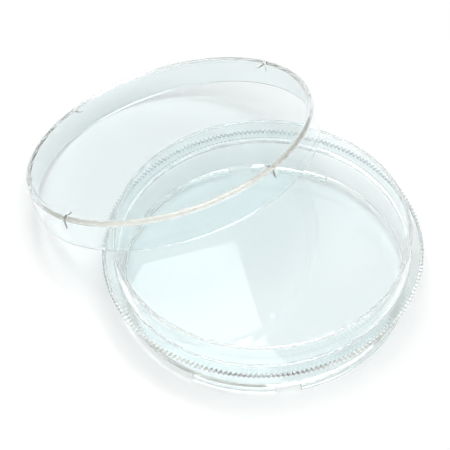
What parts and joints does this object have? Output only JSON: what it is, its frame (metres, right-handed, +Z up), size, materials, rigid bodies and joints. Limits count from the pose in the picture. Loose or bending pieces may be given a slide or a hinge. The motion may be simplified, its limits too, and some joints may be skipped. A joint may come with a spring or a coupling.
{
  "type": "petri dish",
  "caption": "Round clear petri dish with a knurled grip ring and a low foot, and its loose shallow lid leaning on the rim.",
  "frame": {"origin": "middle of the pair's footprint, on the surface that the dish stands on", "axes": "+Z up along the dish's axis; the lid leans away from the dish towards -X and +Y"},
  "size_m": [0.1208, 0.129, 0.0408],
  "materials": {
    "clear_polystyrene": "clear gloss"
  },
  "bodies": {
    "dish": {"dish": "clear_polystyrene"},
    "lid": {"lid": "clear_polystyrene"}
  },
  "joints": [
    {"name": "lid_lift", "type": "slide", "parent": "dish", "child": "lid", "axis": [0, 0, 1], "range_m": [0, 0.06]}
  ]
}
